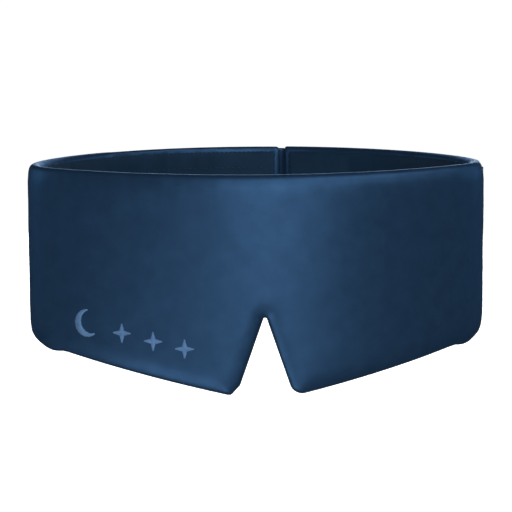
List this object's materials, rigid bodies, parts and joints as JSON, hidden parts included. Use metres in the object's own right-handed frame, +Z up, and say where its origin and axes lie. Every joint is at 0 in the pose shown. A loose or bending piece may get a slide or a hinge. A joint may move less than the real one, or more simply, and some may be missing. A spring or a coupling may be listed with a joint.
{
  "type": "padded sleep eye mask",
  "caption": "Padded wrap-around sleep mask: deep front with a nose notch, two straps that meet in a hook and loop closure.",
  "frame": {"origin": "middle of the ring in plan, half way up the front panel", "axes": "+Z up, the front faces -Y, +X is the wearer's left (the viewer's right)"},
  "size_m": [0.2149, 0.1529, 0.0995],
  "materials": {
    "navy_satin": "satin weave silk",
    "navy_lining": "satin weave silk",
    "white_wadding": "needled fibre",
    "black_film": "coated blackout cloth",
    "stiff_web": "bonded interfacing",
    "blue_thread": "satin stitch",
    "navy_thread": "sewing thread",
    "navy_piping": "satin roll",
    "loop_pile": "brushed nylon loop",
    "hook_tape": "moulded nylon hook",
    "label_cloth": "woven label, blank"
  },
  "bodies": {
    "mask_front": {"front_wadding": "white_wadding", "front_cover": "navy_satin", "front_lining": "navy_lining", "blackout_layer": "black_film", "embroidered_moon": "blue_thread", "embroidered_star_1": "blue_thread", "embroidered_star_2": "blue_thread", "embroidered_star_3": "blue_thread", "care_label": "label_cloth", "inner_strap_seam": "navy_piping", "outer_strap_seam": "navy_piping"},
    "inner_strap": {"inner_strap_wadding": "white_wadding", "inner_strap_cover": "navy_satin", "inner_strap_lining": "navy_lining", "landing_interfacing": "stiff_web", "loop_patch": "loop_pile", "loop_patch_stitching": "navy_thread"},
    "outer_strap": {"outer_strap_wadding": "white_wadding", "outer_strap_cover": "navy_satin", "outer_strap_lining": "navy_lining", "tab_seam": "navy_piping"},
    "closure_tab": {"tab_cover": "navy_satin", "tab_lining": "navy_lining", "tab_interfacing": "stiff_web", "hook_patch": "hook_tape", "hook_patch_stitching": "navy_thread"}
  },
  "joints": [
    {"name": "inner_strap_hinge", "type": "hinge", "parent": "mask_front", "child": "inner_strap", "pos_m": [-0.1005, 0, 0], "axis": [0, 0, -1], "range_deg": [0, 45]},
    {"name": "outer_strap_hinge", "type": "hinge", "parent": "mask_front", "child": "outer_strap", "pos_m": [0.1067, 0, 0], "axis": [0, 0, -1], "range_deg": [0, 100]},
    {"name": "closure_tab_hinge", "type": "hinge", "parent": "outer_strap", "child": "closure_tab", "pos_m": [0.01978, 0.0936, 0], "axis": [0, 0, -1], "range_deg": [0, 120]}
  ]
}
